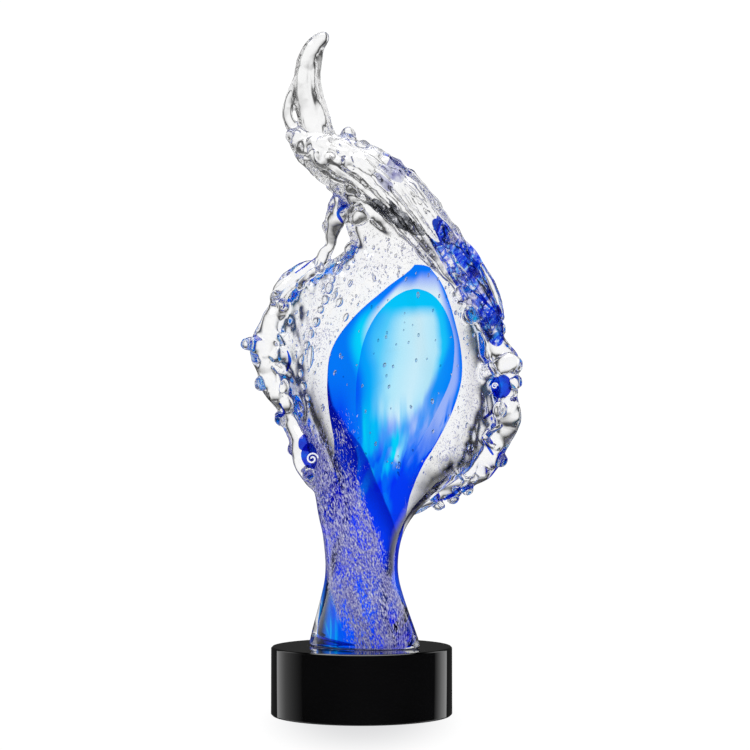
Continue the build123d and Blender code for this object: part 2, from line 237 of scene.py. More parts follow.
# Folds of clear glass that run over the edges: place as shares, radius as a share of the rim's size
fold_shares = [
    [(-0.097, -0.042, 0.659, 0.12), (-0.125, -0.104, 0.636, 0.14), (-0.150, -0.125, 0.616, 0.15),
     (-0.150, -0.125, 0.597, 0.10)],
    [(-0.125, -0.042, 0.639, 0.12), (-0.175, -0.062, 0.620, 0.14), (-0.231, -0.062, 0.600, 0.16),
     (-0.277, -0.083, 0.581, 0.19), (-0.308, -0.083, 0.565, 0.21), (-0.305, -0.104, 0.548, 0.16)],
    [(-0.140, -0.125, 0.620, 0.09), (-0.182, -0.146, 0.605, 0.12), (-0.206, -0.146, 0.592, 0.16),
     (-0.231, -0.146, 0.579, 0.11)],
    [(-0.203, -0.146, 0.590, 0.14), (-0.171, -0.167, 0.573, 0.13), (-0.150, -0.167, 0.553, 0.11),
     (-0.111, -0.167, 0.543, 0.09)],
    [(-0.111, -0.167, 0.529, 0.09), (-0.161, -0.188, 0.529, 0.14), (-0.199, -0.188, 0.518, 0.17),
     (-0.224, -0.167, 0.496, 0.16), (-0.252, -0.146, 0.480, 0.14)],
    [(-0.343, -0.062, 0.496, 0.15), (-0.308, -0.167, 0.503, 0.17), (-0.270, -0.208, 0.496, 0.17),
     (-0.249, -0.167, 0.477, 0.14)],
    [(-0.266, -0.167, 0.436, 0.12), (-0.224, -0.188, 0.441, 0.12), (-0.217, -0.188, 0.420, 0.11),
     (-0.220, -0.167, 0.396, 0.11), (-0.206, -0.167, 0.372, 0.12), (-0.185, -0.125, 0.347, 0.11)],
    [(0.381, -0.167, 0.441, 0.10), (0.395, -0.188, 0.412, 0.12), (0.423, -0.208, 0.393, 0.11)],
    [(0.419, -0.167, 0.409, 0.11), (0.430, -0.188, 0.380, 0.12), (0.419, -0.188, 0.351, 0.13),
     (0.381, -0.188, 0.331, 0.14), (0.346, -0.167, 0.312, 0.15), (0.331, -0.146, 0.286, 0.14),
     (0.360, -0.104, 0.270, 0.14), (0.402, -0.062, 0.270, 0.11)],
    [(0.412, -0.167, 0.344, 0.10), (0.451, -0.167, 0.325, 0.12), (0.479, -0.146, 0.318, 0.11)],
    [(0.514, -0.208, 0.433, 0.14), (0.539, -0.188, 0.415, 0.15), (0.532, -0.188, 0.393, 0.14),
     (0.511, -0.208, 0.376, 0.12)],
    [(0.493, -0.229, 0.357, 0.12), (0.451, -0.229, 0.344, 0.13), (0.430, -0.208, 0.331, 0.11)],
    [(0.261, -0.330, 0.658, 0.12), (0.328, -0.340, 0.599, 0.16), (0.398, -0.280, 0.558, 0.17),
     (0.458, -0.200, 0.501, 0.13)],
    [(0.416, -0.240, 0.620, 0.14), (0.468, -0.200, 0.574, 0.17), (0.500, -0.120, 0.526, 0.14)],
    [(0.300, -0.350, 0.640, 0.10), (0.372, -0.330, 0.590, 0.13), (0.440, -0.250, 0.550, 0.12)],
]

# Wisps of blue glass caught in the edges, as the folds, with radii as shares of the wisps' size
wisp_size = 0.7 * rim_size
wisp_shares = [
    [(-0.059, -0.188, 0.715, 0.07), (-0.083, -0.167, 0.702, 0.11), (-0.073, -0.167, 0.686, 0.07)],
    [(-0.157, -0.042, 0.631, 0.05), (-0.199, -0.042, 0.616, 0.08), (-0.234, -0.042, 0.603, 0.05)],
    [(-0.263, -0.146, 0.477, 0.06), (-0.249, -0.167, 0.461, 0.12), (-0.263, -0.146, 0.443, 0.06)],
    [(-0.291, -0.083, 0.393, 0.07), (-0.273, -0.083, 0.378, 0.09), (-0.291, -0.042, 0.370, 0.12)],
    [(0.479, -0.167, 0.396, 0.09), (0.454, -0.167, 0.378, 0.15), (0.423, -0.146, 0.367, 0.07)],
    [(0.426, -0.146, 0.338, 0.06), (0.444, -0.146, 0.321, 0.10), (0.462, -0.125, 0.308, 0.06)],
    [(0.289, 0.042, 0.235, 0.08), (0.321, 0.042, 0.244, 0.14), (0.349, 0.021, 0.255, 0.09)],
    [(0.381, -0.250, 0.574, 0.05), (0.426, -0.250, 0.558, 0.09), (0.469, -0.208, 0.539, 0.07)],
]

# Blue glass in the eyes of the edges, as the lumps
eye_shares = [
    (-0.178, -0.190, 0.305, 0.52, 1.5, -10),
    (0.490, -0.167, 0.419, 0.59, 1.15, 10),
    (-0.196, -0.083, 0.326, 0.39, 1.3, 0),
]

# The chain of larger bubbles at the left of the leaf, as the lumps
chain_shares = [
    (-0.041, -0.188, 0.644, 0.28, 1.5, 35), (-0.066, -0.167, 0.629, 0.17, 1.3, 20),
    (-0.083, -0.167, 0.610, 0.28, 1.6, 25), (-0.101, -0.167, 0.590, 0.19, 1.4, 20),
    (-0.111, -0.146, 0.577, 0.25, 1.4, 15), (-0.125, -0.167, 0.558, 0.22, 1.3, 10),
    (-0.140, -0.146, 0.542, 0.19, 1.3, 15), (-0.154, -0.146, 0.522, 0.20, 1.4, 10),
    (-0.171, -0.146, 0.503, 0.17, 1.5, 15), (-0.185, -0.125, 0.485, 0.18, 1.6, 10),
    (-0.175, -0.188, 0.467, 0.20, 3.2, 3), (-0.203, -0.125, 0.464, 0.16, 1.8, 10),
    (-0.206, -0.125, 0.441, 0.15, 1.6, -5), (-0.196, -0.125, 0.422, 0.16, 1.6, -15),
    (-0.182, -0.125, 0.402, 0.15, 1.5, -20), (-0.062, -0.146, 0.620, 0.13, 1.3, 20),
    (-0.045, -0.125, 0.610, 0.11, 1.5, 20), (-0.090, -0.188, 0.565, 0.17, 1.6, 20),
    (-0.073, -0.167, 0.553, 0.18, 1.6, 20), (-0.052, -0.167, 0.529, 0.15, 1.8, 20),
]

# Blue and speckled glass that fills the shoulder: place as shares, half width and half thickness
# in centimetres
centimetre = 0.010
shoulder_fill_shares = [
    (0.247, -0.180, 0.691, 0.17, 0.20),
    (0.279, -0.180, 0.668, 0.52, 0.42),
    (0.328, -0.170, 0.639, 0.86, 0.62),
    (0.374, -0.150, 0.607, 0.96, 0.72),
    (0.409, -0.120, 0.571, 0.96, 0.76),
    (0.440, -0.100, 0.540, 0.82, 0.70),
    (0.465, -0.070, 0.511, 0.56, 0.56),
    (0.486, -0.050, 0.484, 0.22, 0.30),
]

# White threads curled up in the three eyes of the edges: place, radius and half thickness in metres
swirl_places = [
    (-0.0275, -0.0150, 0.1430, 0.0034, 0.0005),
    (0.0525, -0.0150, 0.2314, 0.0021, 0.0004),
    (0.0745, -0.0110, 0.1838, 0.0018, 0.0004),
]

# The smoky patch and the lavender mist inside the crest: place and radius in metres, how much
# taller than wide, lean in degrees and how flat in depth
smoke_drop = (0.0190, -0.0170, 0.2785, 0.0044, 4.4, -58, 0.6)
mist_drop = (0.0175, -0.0100, 0.3040, 0.0062, 1.4, 20, 0.6)

# Cords that run along the crest and the horn: the places where each starts and stops on the trail's
# table, the angles round the trail there in degrees from the back, its reach from the trail's line
# and its radius in metres
crest_cords = [
    (1.2, 9.2, 88, 118, 1.04, 0.0034),
    (0.8, 6.6, 108, 100, 1.02, 0.0026),
    (2.4, 8.8, 132, 150, 0.99, 0.0022),
    (3.2, 9.0, 150, 170, 0.98, 0.0018),
    (2.0, 7.6, 170, 196, 0.98, 0.0020),
    (3.6, 8.8, 205, 216, 0.97, 0.0016),
    (2.8, 7.2, 236, 246, 0.99, 0.0020),
    (4.0, 8.2, 262, 258, 0.99, 0.0018),
    (1.6, 8.0, 20, 44, 0.99, 0.0022),
    (2.6, 8.6, 62, 70, 0.99, 0.0020),
    (3.4, 8.4, 330, 306, 0.99, 0.0020),
]
horn_cords = [
    (0.2, 5.2, 262, 250, 0.98, 0.0019),
    (0.3, 4.2, 232, 222, 0.98, 0.0012),
    (0.3, 5.6, 118, 132, 0.98, 0.0013),
    (0.4, 5.0, 20, 30, 0.98, 0.0014),
]

# Rounded rods in the skin of the crest and the horn: how many, depth of the creases and drift
crest_rods = [(7, 0.12, 0.25), (13, 0.03, 0.4)]
horn_rods = [(5, 0.14, 0.12), (9, 0.06, 0.2)]

# Crumpled lumps where the crest breaks: how many, between which of its rows, and their radii
crumple_count = 40
crumple_rows = (5.9, 9.0)
crumple_sizes = (0.0022, 0.0048)

# Where the veil ends among the leaf's stations, how far it reaches out of the blue gather at some
# of them, and the band of frit in it: station, and low and high edge in degrees round the veil. The
# frit fades over some degrees inside the low edge and the high one, and some stations under the top.
veil_top = 9.3
veil_spread = [(0, 0), (3.4, 0), (4.6, 0.004), (5.9, 0.010), (7.2, 0.0155), (8.4, 0.019), (9.3, 0.019)]
veil_edges = [
    (0, 86, 246),
    (2.2, 72, 266),
    (4, 60, 280),
    (5.9, 75, 286),
    (7.2, 105, 282),
    (8.7, 135, 268),
    (9.3, 140, 270),
]
low_fade, high_fade, top_fade = 22, 52, 0.9

# The sheet of fine seed: its rings up to its last station, and the first of them that is kept, its
# length as a share of the leaf's, and in metres its least half thickness and how far beside the blue
# gather it is at its fullest
sheet_rings, sheet_top, sheet_start = 150, 16, 48
sheet_length = 0.94
sheet_thickness = 0.0015
sheet_fade = 0.003

# Seed bubbles: how many with the chain, between which of the leaf's stations, how far across it, the
# radii and how often each is drawn, and the shares of those over the blue gather that are left out
# and of all that lie behind it
seed_count = 430
seed_stations = (6.8, 15.4)
seed_reach = 0.95
seed_sizes = [0.00036, 0.00048, 0.00065, 0.0009]
seed_odds = [0.4, 0.35, 0.17, 0.08]
left_out, lie_behind = 0.72, 0.35


def through(rows, places):
    """Rows part way between the rows of a table, on the smooth curve through them.

    At the share t of the way from row b to row c, with a before them and d after, each value is
    half of 2b + (c - a)t + (2a - 5b + 4c - d)t^2 + (3b - a - 3c + d)t^3.
    """
    rows = np.asarray(rows, float)
    places = np.asarray(places, float)
    last = len(rows) - 1
    i = np.clip(places.astype(int), 0, last - 1)
    t = (places - i)[:, None]
    a, b, c, d = (rows[np.clip(i + step, 0, last)] for step in (-1, 0, 1, 2))
    return (2 * b + (c - a) * t + (2 * a - 5 * b + 4 * c - d) * t**2 + (3 * b - a - 3 * c + d) * t**3) / 2


def eased(value, low, high):
    """0 below low, 1 above high and a smooth step between them."""
    t = np.clip((value - low) / (high - low), 0, 1)
    return t * t * (3 - 2 * t)


def gather_grid(rows, sides):
    """Rings of a gather of glass, one for each row of height, middle, half length, half thickness,
    turn and lens power.

    At angle a the ring lies half_length cos a along the leaf and sin a times its half thickness
    across it, drawn in towards the web edge by |sin a| to the lens power, and turned by the turn.
    """
    height, middle, half_length, half_thickness, turn, lens = (column[:, None] for column in rows.T)
    angle = np.linspace(0, 2 * np.pi, sides, endpoint=False)[None, :]
    turn = np.radians(turn)
    edge = np.minimum(web_edge / 2, half_thickness)
    fullness = np.abs(np.sin(angle)) ** np.maximum(lens, 0)
    along = half_length * np.cos(angle)
    across = np.sin(angle) * (edge + (half_thickness - edge) * fullness)
    x = middle + along * np.cos(turn) - across * np.sin(turn)
    y = along * np.sin(turn) + across * np.cos(turn)
    return np.stack([x, y, np.broadcast_to(height, x.shape)], axis=-1)


def gather_rows(shares, first, rings, stop=None):
    """Rows for gather_grid from a table of middle, half length and half thickness at the leaf's
    stations from the first on, in metres."""
    places = np.linspace(0, len(shares) - 1 if stop is None else stop, rings)
    leaf = through(leaf_shares, places + first)
    own = through(shares, places)
    return np.stack(
        [
            foot_level + leaf[:, 0] * glass_height,
            own[:, 0] * glass_width,
            own[:, 1] * glass_width,
            own[:, 2] * glass_depth,
            leaf[:, 4],
            leaf[:, 5],
        ],
        axis=1,
    )


def frame_along(centre):
    """Unit vectors along a path, square to it into the depth, and square to both, with the length
    of each step."""
    along = np.gradient(centre, axis=0)
    step = np.linalg.norm(along, axis=1, keepdims=True)
    along = along / step
    deep = np.array([0.0, 1.0, 0.0]) - along * along[:, 1:2]
    deep = deep / np.linalg.norm(deep, axis=1, keepdims=True)
    return along, deep, np.cross(along, deep), step[:, 0]


def trail_grid(stations, rings, sides, rods=(), ripple=0.0, crumple=0.0, crumple_from=0.0, seed=0):
    """Rings of a trail of glass carried along the smooth curve through its stations.

    Each station is x, y, z, half width and half thickness. At angle a of the ring at run s, in rim
    sizes from the start, the radius is 1, less each rod pattern's depth times
    1 - |sin(count a / 2 + drift s)|, which draws creases between rounded rods, plus ripple times
    slow waves and crumple times quick waves in a and s. The quick ones come in where the share of
    the way passes crumple_from. It closes in as a dome at both ends.
    """
    share = np.linspace(0, 1, rings)
    rows = through(stations, share * (len(stations) - 1))
    centre, half = rows[:, :3], np.maximum(rows[:, 3:5], 0.0002)
    _, deep, side, step = frame_along(centre)
    run = np.concatenate([[0], np.cumsum(step[:-1])])
    end = np.minimum(run, run[-1] - run) / np.maximum(half.mean(axis=1), 1e-6)
    dome = np.sqrt(np.clip(1 - np.clip(1 - end, 0, 1) ** 2, 0.0004, 1))[:, None]
    angle = np.linspace(0, 2 * np.pi, sides, endpoint=False)[None, :]
    place = (run / rim_size)[:, None]
    waves = np.random.default_rng(seed)
    swell = np.ones((rings, sides))
    for count, depth, drift in rods:
        phase = waves.uniform(0, 2 * np.pi)
        swell -= depth * (1 - np.abs(np.sin(count * angle / 2 + drift * place + phase)))
    for turns in (1, 2, 3, 2):
        beat, phase = waves.uniform(1.2, 3.6), waves.uniform(0, 2 * np.pi)
        swell += ripple * np.cos(turns * angle + beat * place + phase) / 2
    rough = crumple * eased(share, crumple_from, crumple_from + 0.15)[:, None] if crumple else 0
    for turns in (3, 4, 5, 6):
        beat, phase = waves.uniform(3.0, 8.0), waves.uniform(0, 2 * np.pi)
        swell += rough * np.sin(turns * angle + beat * place + phase) / 2
    radius = swell * dome
    across = radius[..., None] * (np.sin(angle)[..., None] * half[:, None, 0:1] * side[:, None, :])
    inward = radius[..., None] * (np.cos(angle)[..., None] * half[:, None, 1:2] * deep[:, None, :])
    return centre[:, None, :] + across + inward


def cord_stations(stations, start, stop, first_angle, last_angle, reach, radius, sway, rows=40):
    """Stations of a thin cord that runs along a trail from one place of its table to another.

    It lies reach times the trail's own half sizes from its line, at an angle that goes evenly from
    the first to the last with a slow sway, and its radius swells as the root of a half sine.
    """
    share = np.linspace(0, 1, rows)
    places = start + (stop - start) * share
    carrier = through(stations, places)
    _, deep, side, _ = frame_along(carrier[:, :3])
    angle = np.radians(first_angle + (last_angle - first_angle) * share + sway * np.sin(7 * share + start))
    inward = deep * (reach * carrier[:, 4] * np.cos(angle))[:, None]
    sideways = side * (reach * carrier[:, 3] * np.sin(angle))[:, None]
    size = radius * np.sqrt(np.clip(np.sin(np.pi * (0.03 + 0.94 * share)), 0, 1))
    return np.concatenate([carrier[:, :3] + inward + sideways, size[:, None], size[:, None]], axis=1)


def swirl_stations(x, y, z, radius, thread):
    """Stations of a thread curled up in a spiral seen from the front: at turn t in radians it lies
    radius times 1 - 0.09 t from the middle, for a turn and a half."""
    turn = np.linspace(0, 3 * np.pi, 20)
    reach = radius * (1 - 0.09 * turn)
    thickness = np.full(20, thread)
    return np.stack(
        [x + reach * np.cos(turn), y + 0 * turn, z + reach * np.sin(turn), thickness, thickness], axis=1
    )


def drop_grid(x, y, z, radius, tall=1.0, lean=0.0, flat=1.0, rings=14, sides=20):
    """Rings of a drop: a sphere of the radius, drawn out to tall times its height, pressed to flat
    times its depth and leant to the right by an angle in degrees."""
    polar = np.linspace(0.04, np.pi - 0.04, rings)[:, None]
    angle = np.linspace(0, 2 * np.pi, sides, endpoint=False)[None, :]
    wide = np.sin(polar) * np.cos(angle)
    deep = np.sin(polar) * np.sin(angle) * flat
    high = (np.cos(polar) + 0 * angle) * tall
    tilt = np.radians(lean)
    unit = np.stack(
        [wide * np.cos(tilt) + high * np.sin(tilt), deep, high * np.cos(tilt) - wide * np.sin(tilt)], axis=-1
    )
    return np.array([x, y, z]) + radius * unit


def closed(grid):
    """Vertices and faces of rings joined into a closed skin, with a pole at the middle of each end."""
    rings, sides = grid.shape[:2]
    vertices = np.concatenate([grid.reshape(-1, 3), grid[:1].mean(axis=1), grid[-1:].mean(axis=1)])
    ring = np.arange(rings - 1)[:, None] * sides
    here = np.arange(sides)[None, :]
    after = (here + 1) % sides
    quads = np.stack([ring + here, ring + after, ring + sides + after, ring + sides + here], axis=-1)
    here, after = here[0], after[0]
    foot, top = rings * sides, rings * sides + 1
    last = (rings - 1) * sides
    low = np.stack([after, here, np.full(sides, foot)], axis=-1)
    high = np.stack([last + here, last + after, np.full(sides, top)], axis=-1)
    return vertices, quads.reshape(-1, 4), np.concatenate([low, high])


def outward(surface):
    """A closed surface with its faces turned over if the volume inside it comes out negative."""
    vertices, quads, triangles = surface
    fan = np.concatenate([quads[:, [0, 1, 2]], quads[:, [0, 2, 3]], triangles])
    a, b, c = (vertices[fan[:, k]] - vertices.mean(axis=0) for k in range(3))
    if np.einsum("ij,ij->i", a, np.cross(b, c)).sum() < 0:
        quads, triangles = quads[:, ::-1], triangles[:, ::-1]
    return vertices, quads, triangles


def object_from(name, grids):
    """One mesh object from a list of grids of rings, at the origin and with smooth shading."""
    vertices, faces, count = [], [], 0
    for corners, quads, triangles in (outward(closed(grid)) for grid in grids):
        vertices.append(corners)
        faces += (quads + count).tolist() + (triangles + count).tolist()
        count += len(corners)
    mesh = bpy.data.meshes.new(name)
    mesh.from_pydata(np.concatenate(vertices).tolist(), [], faces)
    mesh.polygons.foreach_set("use_smooth", np.ones(len(mesh.polygons), bool))
    mesh.update()
    piece = bpy.data.objects.new(name, mesh)
    bpy.context.scene.collection.objects.link(piece)
    return piece


def wrap_map(piece, grid, across=None, name="wrap"):
    """Lays a map on a piece made from one grid: x from the given values, and y the height.

    The values have a column for each side of the grid and one more, for the first side after a
    whole turn. Without them x is the share of a turn.
    """
    rings, sides = grid.shape[:2]
    if across is None:
        across = np.tile(np.arange(sides + 1) / sides, (rings, 1))
    mesh = piece.data
    layer = mesh.uv_layers.new(name=name)
    loops = np.empty(len(mesh.loops), int)
    mesh.loops.foreach_get("vertex_index", loops)
    loops = np.minimum(loops, rings * sides - 1)
    ring, side = np.divmod(loops, sides)
    four = side[: (rings - 1) * sides * 4].reshape(-1, 4)
    four[(np.ptp(four, axis=1) > sides / 2)[:, None] & (four < sides / 2)] += sides
    side[: four.size] = four.ravel()
    layer.data.foreach_set("uv", np.stack([across[ring, side], grid[:, 0, 2][ring]], axis=1).ravel())


def fuse(piece, voxel, rounds):
    """Melts a piece's overlapping surfaces into one skin, as hot glass runs together, and smooths
    the skin in the given number of rounds."""
    melt = piece.modifiers.new("melt", "REMESH")
    melt.mode = "VOXEL"
    melt.voxel_size = voxel
    melt.use_smooth_shade = True
    polish = piece.modifiers.new("polish", "SMOOTH")
    polish.factor = 0.5
    polish.iterations = rounds
    graph = bpy.context.evaluated_depsgraph_get()
    mesh = bpy.data.meshes.new_from_object(piece.evaluated_get(graph))
    mesh.polygons.foreach_set("use_smooth", np.ones(len(mesh.polygons), bool))
    old = piece.data
    piece.modifiers.clear()
    piece.data = mesh
    bpy.data.meshes.remove(old)
    mesh.name = piece.name


def wave(piece, depth, length, seed):
    """Waves in a piece's skin, out along its own normals by depth times a third of nine sines' sum.

    Each sine runs its own way with a length from 0.7 to 1.6 times the given one. The waves fade out
    over the blue gather and in the stem, where the casing is smooth, and are lower on the leaf than
    on the crest, and lowest on the horn.
    """
    mesh = piece.data
    points, normals = np.empty((2, len(mesh.vertices) * 3))
    mesh.vertices.foreach_get("co", points)
    mesh.vertices.foreach_get("normal", normals)
    points, normals = points.reshape(-1, 3), normals.reshape(-1, 3)
    draws = np.random.default_rng(seed)
    height = np.zeros(len(points))
    for _ in range(9):
        way = draws.normal(size=3) * (1, 0.8, 0.8)
        way = way / np.linalg.norm(way) * 2 * np.pi / (length * draws.uniform(0.7, 1.6))
        height += np.sin(points @ way + draws.uniform(0, 2 * np.pi)) / 3
    level = points[:, 2]
    levels = foot_level + np.array(leaf_shares)[:, 0] * glass_height
    station = np.interp(level, levels, np.arange(len(levels)))
    core = through(core_shares, np.clip(station, 0, len(core_shares) - 1.001))
    beside = np.abs(points[:, 0] - core[:, 0] * glass_width) / (core[:, 1] * glass_width + 0.001)
    rise = eased(level, *stem_fade) * np.maximum(eased(beside, 1.10, 1.5), eased(level, *gather_fade))
    rise *= 1 - 0.75 * eased(level, *horn_fade)
    rise *= 0.45 + 0.55 * eased(level, *crest_fade)
    points += normals * (depth * height * rise)[:, None]
    mesh.vertices.foreach_set("co", points.ravel())
    mesh.update()


def placed(shares, size):
    """Stations in metres from a table of places as shares and one or two radii as shares."""
    rows = np.asarray(shares, float)
    places = rows[:, :3] * (glass_width, glass_depth, glass_height) + (0, 0, foot_level)
    radii = rows[:, 3:] * size
    if radii.shape[1] == 1:
        radii = np.repeat(radii, 2, axis=1)
    return np.concatenate([places, radii], axis=1)


def lumps(shares, flat, rings=14, sides=20):
    """Drops from a table of places as shares, radius as a share of the bead's size, tallness and
    lean."""
    rows = placed([row[:4] for row in shares], bead_size)[:, :4]
    return [drop_grid(*row, tall, lean, flat, rings, sides) for row, (*_, tall, lean) in zip(rows, shares)]


def rim_stations(shares, side):
    """Stations of a trail along the leaf's left edge (side -1) or right edge (side 1)."""
    rows = np.asarray(shares, float)
    station, push, swing, radius = rows.T
    height, middle, half_length, _, turn, _ = through(leaf_shares, station).T
    reach = side * (half_length * glass_width + push * rim_size)
    x = middle * glass_width + reach * np.cos(np.radians(turn))
    y = swing * rim_size + reach * np.sin(np.radians(turn))
    z = foot_level + height * glass_height
    return np.stack([x, y, z, radius * rim_size, radius * rim_size], axis=1)


# Materials


def shade(red, green, blue):
    """A colour of light from its screen values out of 255."""
    steps = np.array([red, green, blue]) / 255
    light = np.where(steps <= 0.04045, steps / 12.92, ((steps + 0.055) / 1.055) ** 2.4)
    return (*light.tolist(), 1.0)


class Finish:
    """A material's or the studio's node graph, built a node at a time."""

    def __init__(self, name, made=None):
        self.material = made or bpy.data.materials.new(name)
        self.material.use_nodes = True
        self.tree = self.material.node_tree
        self.tree.nodes.clear()
        kind = "ShaderNodeOutputWorld" if made else "ShaderNodeOutputMaterial"
        self.output = self.node(kind)

    def node(self, kind, inputs=None, **settings):
        """Adds a node, with settings for its own fields and inputs for its sockets."""
        made = self.tree.nodes.new(kind)
        for field, value in settings.items():
            setattr(made, field, value)
        for socket, value in (inputs or {}).items():
            if isinstance(value, bpy.types.NodeSocket):
                self.tree.links.new(value, made.inputs[socket])
            else:
                made.inputs[socket].default_value = value
        return made

    def surface(self, shader):
        """Ends the graph with its shader, and gives back the material."""
        self.tree.links.new(shader, self.output.inputs["Surface"])
        return self.material

    def sums(self, operation, first, second=0.0, third=0.0, clamped=False):
        """One step of arithmetic."""
        values = {0: first, 1: second, 2: third}
        return self.node("ShaderNodeMath", values, operation=operation, use_clamp=clamped).outputs[0]

    def times(self, first, *others):
        """The product of values."""
        for other in others:
            first = self.sums("MULTIPLY", first, other)
        return first

    def plus(self, base, value, factor=1.0, clamped=False):
        """The base with the value times the factor added to it."""
        return self.sums("MULTIPLY_ADD", value, factor, base, clamped)

    def less(self, first, second):
        """The first value less the second."""
        return self.sums("SUBTRACT", first, second)

    def span(self, value, low, high, start=0.0, stop=1.0, smooth=True):
        """The value carried from the span low..high to start..stop, held at both ends."""
        return self.node(
            "ShaderNodeMapRange",
            {"Value": value, "From Min": low, "From Max": high, "To Min": start, "To Max": stop},
            interpolation_type="SMOOTHSTEP" if smooth else "LINEAR",
        ).outputs["Result"]

    def within(self, value, low, high, soft):
        """1 where the value lies between two places, with soft edges."""
        above = self.span(value, low - soft, low + soft)
        return self.times(above, self.span(value, high + soft, high - soft))

    def mix(self, share, first, second, how="MIX"):
        """Two colours mixed by a share."""
        made = self.node("ShaderNodeMix", {0: share, 6: first, 7: second}, data_type="RGBA", blend_type=how)
        return made.outputs[2]

    def layered(self, colour, *layers):
        """A colour with others laid over it in turn, each by its own share."""
        for share, laid in layers:
            colour = self.mix(share, colour, laid)
        return colour

    def ramp(self, value, stops):
        """A colour or grey that follows a value from 0 to 1 through the given stops."""
        made = self.node("ShaderNodeValToRGB", {"Fac": value})
        while len(made.color_ramp.elements) < len(stops):
            made.color_ramp.elements.new(0.5)
        for element, (place, colour) in zip(made.color_ramp.elements, stops):
            element.position = place
            element.color = colour if isinstance(colour, tuple) else (colour, colour, colour, 1)
        return made.outputs["Color"]

    def noise(
        self, coordinates, scale, detail=2.0, roughness=0.5, warp=0.0, stretch=(1, 1, 1), start=(0, 0, 0)
    ):
        """A cloud pattern, from 0 to 1 about 0.5, drawn out where the stretch is under 1."""
        sockets = {"Scale": scale, "Detail": detail, "Roughness": roughness, "Distortion": warp}
        sockets["Vector"] = self.moved(coordinates, start, scale=stretch)
        return self.node("ShaderNodeTexNoise", sockets).outputs["Fac"]

    def place(self):
        """Where a point lies on the object."""
        return self.node("ShaderNodeTexCoord").outputs["Object"]

    def parts_of(self, vector):
        """The three parts of a vector."""
        return self.node("ShaderNodeSeparateXYZ", {"Vector": vector}).outputs

    def wrap(self, name="wrap"):
        """The first value of a piece's own map."""
        return self.parts_of(self.node("ShaderNodeUVMap", uv_map=name).outputs[0])["X"]

    def across(self):
        """How far across a gather a point lies, as the cosine of the angle round it."""
        return self.sums("COSINE", self.times(self.wrap(), 2 * math.pi))

    def moved(self, coordinates, location=(0, 0, 0), rotation=(0, 0, 0), scale=(1, 1, 1), kind="POINT"):
        """Coordinates carried to another place, turn and scale."""
        sockets = {"Vector": coordinates, "Location": location, "Rotation": rotation, "Scale": scale}
        return self.node("ShaderNodeMapping", sockets, vector_type=kind).outputs[0]

    def leant(self, coordinates, lean):
        """Coordinates turned in the leaf's plane by an angle in degrees."""
        return self.moved(coordinates, rotation=(0, math.radians(lean), 0), kind="TEXTURE")

    def dull(self, colour, roughness, **more):
        """A surface of a colour that light doesn't go through."""
        sockets = {"Base Color": colour, "Roughness": roughness, **more}
        return self.node("ShaderNodeBsdfPrincipled", sockets).outputs[0]

    def glass(self, colour, ior=1.5, **more):
        """Glass whose colour is what two crossings leave of white light."""
        return self.dull(colour, 0.0, IOR=ior, **{"Transmission Weight": 1.0}, **more)

    def light(self, colour, strength=1.0, kind="ShaderNodeEmission"):
        """Light of a colour and strength."""
        return self.node(kind, {"Color": colour, "Strength": strength}).outputs[0]

    def either(self, share, first, second):
        """Two shaders mixed by a share."""
        return self.node("ShaderNodeMixShader", {0: share, 1: first, 2: second}).outputs[0]


# The blues of the gather, and plain white
cobalt, royal, azure = shade(0, 14, 160), shade(0, 60, 250), shade(0, 124, 255)
cyan, lavender = shade(0, 214, 255), shade(158, 184, 255)
ice, flame_white = shade(226, 246, 255), shade(250, 253, 255)
white = (1, 1, 1, 1)

# The twist's edge, as a share of the way across the gather, from the foot to its end in the leaf
twist_shares = [
    (0.0, 0.86), (0.14, 0.76), (0.34, 0.68), (0.52, 0.52),
    (0.66, 0.34), (0.78, 0.13), (0.88, 0.04), (1.0, 0.0),
]

# The heart's blues from its left edge to its right one
heart_stops = [
    (0.0, shade(30, 184, 255)),
    (0.20, shade(96, 214, 255)),
    (0.40, shade(206, 245, 255)),
    (0.60, shade(232, 250, 255)),
    (0.78, shade(206, 244, 255)),
    (0.86, shade(30, 208, 255)),
    (1.0, shade(0, 190, 255)),
]

# The frit's tones from the thin of a stroke to its thick
frit_stops = [
    (0.38, shade(50, 52, 176)),
    (0.46, shade(122, 122, 218)),
    (0.54, shade(190, 188, 238)),
    (0.64, shade(250, 250, 255)),
]


def clear_glass():
    """Clear casing glass, with cords drawn along the crest and up the horn, and fine waves."""
    finish = Finish("clear_casing_glass")
    here = finish.place()
    height = finish.parts_of(here)["Z"]
    crest = finish.noise(finish.leant(here, -42), 190, 1.0, 0.4, 0.3, stretch=(0.10, 1, 1))
    horn = finish.noise(here, 230, 1.0, 0.4, stretch=(1, 1, 0.08))
    plain = finish.noise(here, 90, 1.0, 0.4, 0.4, stretch=(1, 1, 0.45))
    up_crest = finish.times(finish.span(height, 0.262, 0.285), finish.span(height, 0.322, 0.312))
    up_horn = finish.times(finish.span(height, 0.314, 0.328), 0.8)
    cords = finish.plus(finish.plus(finish.times(crest, up_crest), horn, up_horn), plain, 0.35)
    relief = finish.node("ShaderNodeBump", {"Height": cords, "Strength": 0.25, "Distance": 0.0010})
    return finish.surface(finish.glass(white, Normal=relief.outputs[0]))


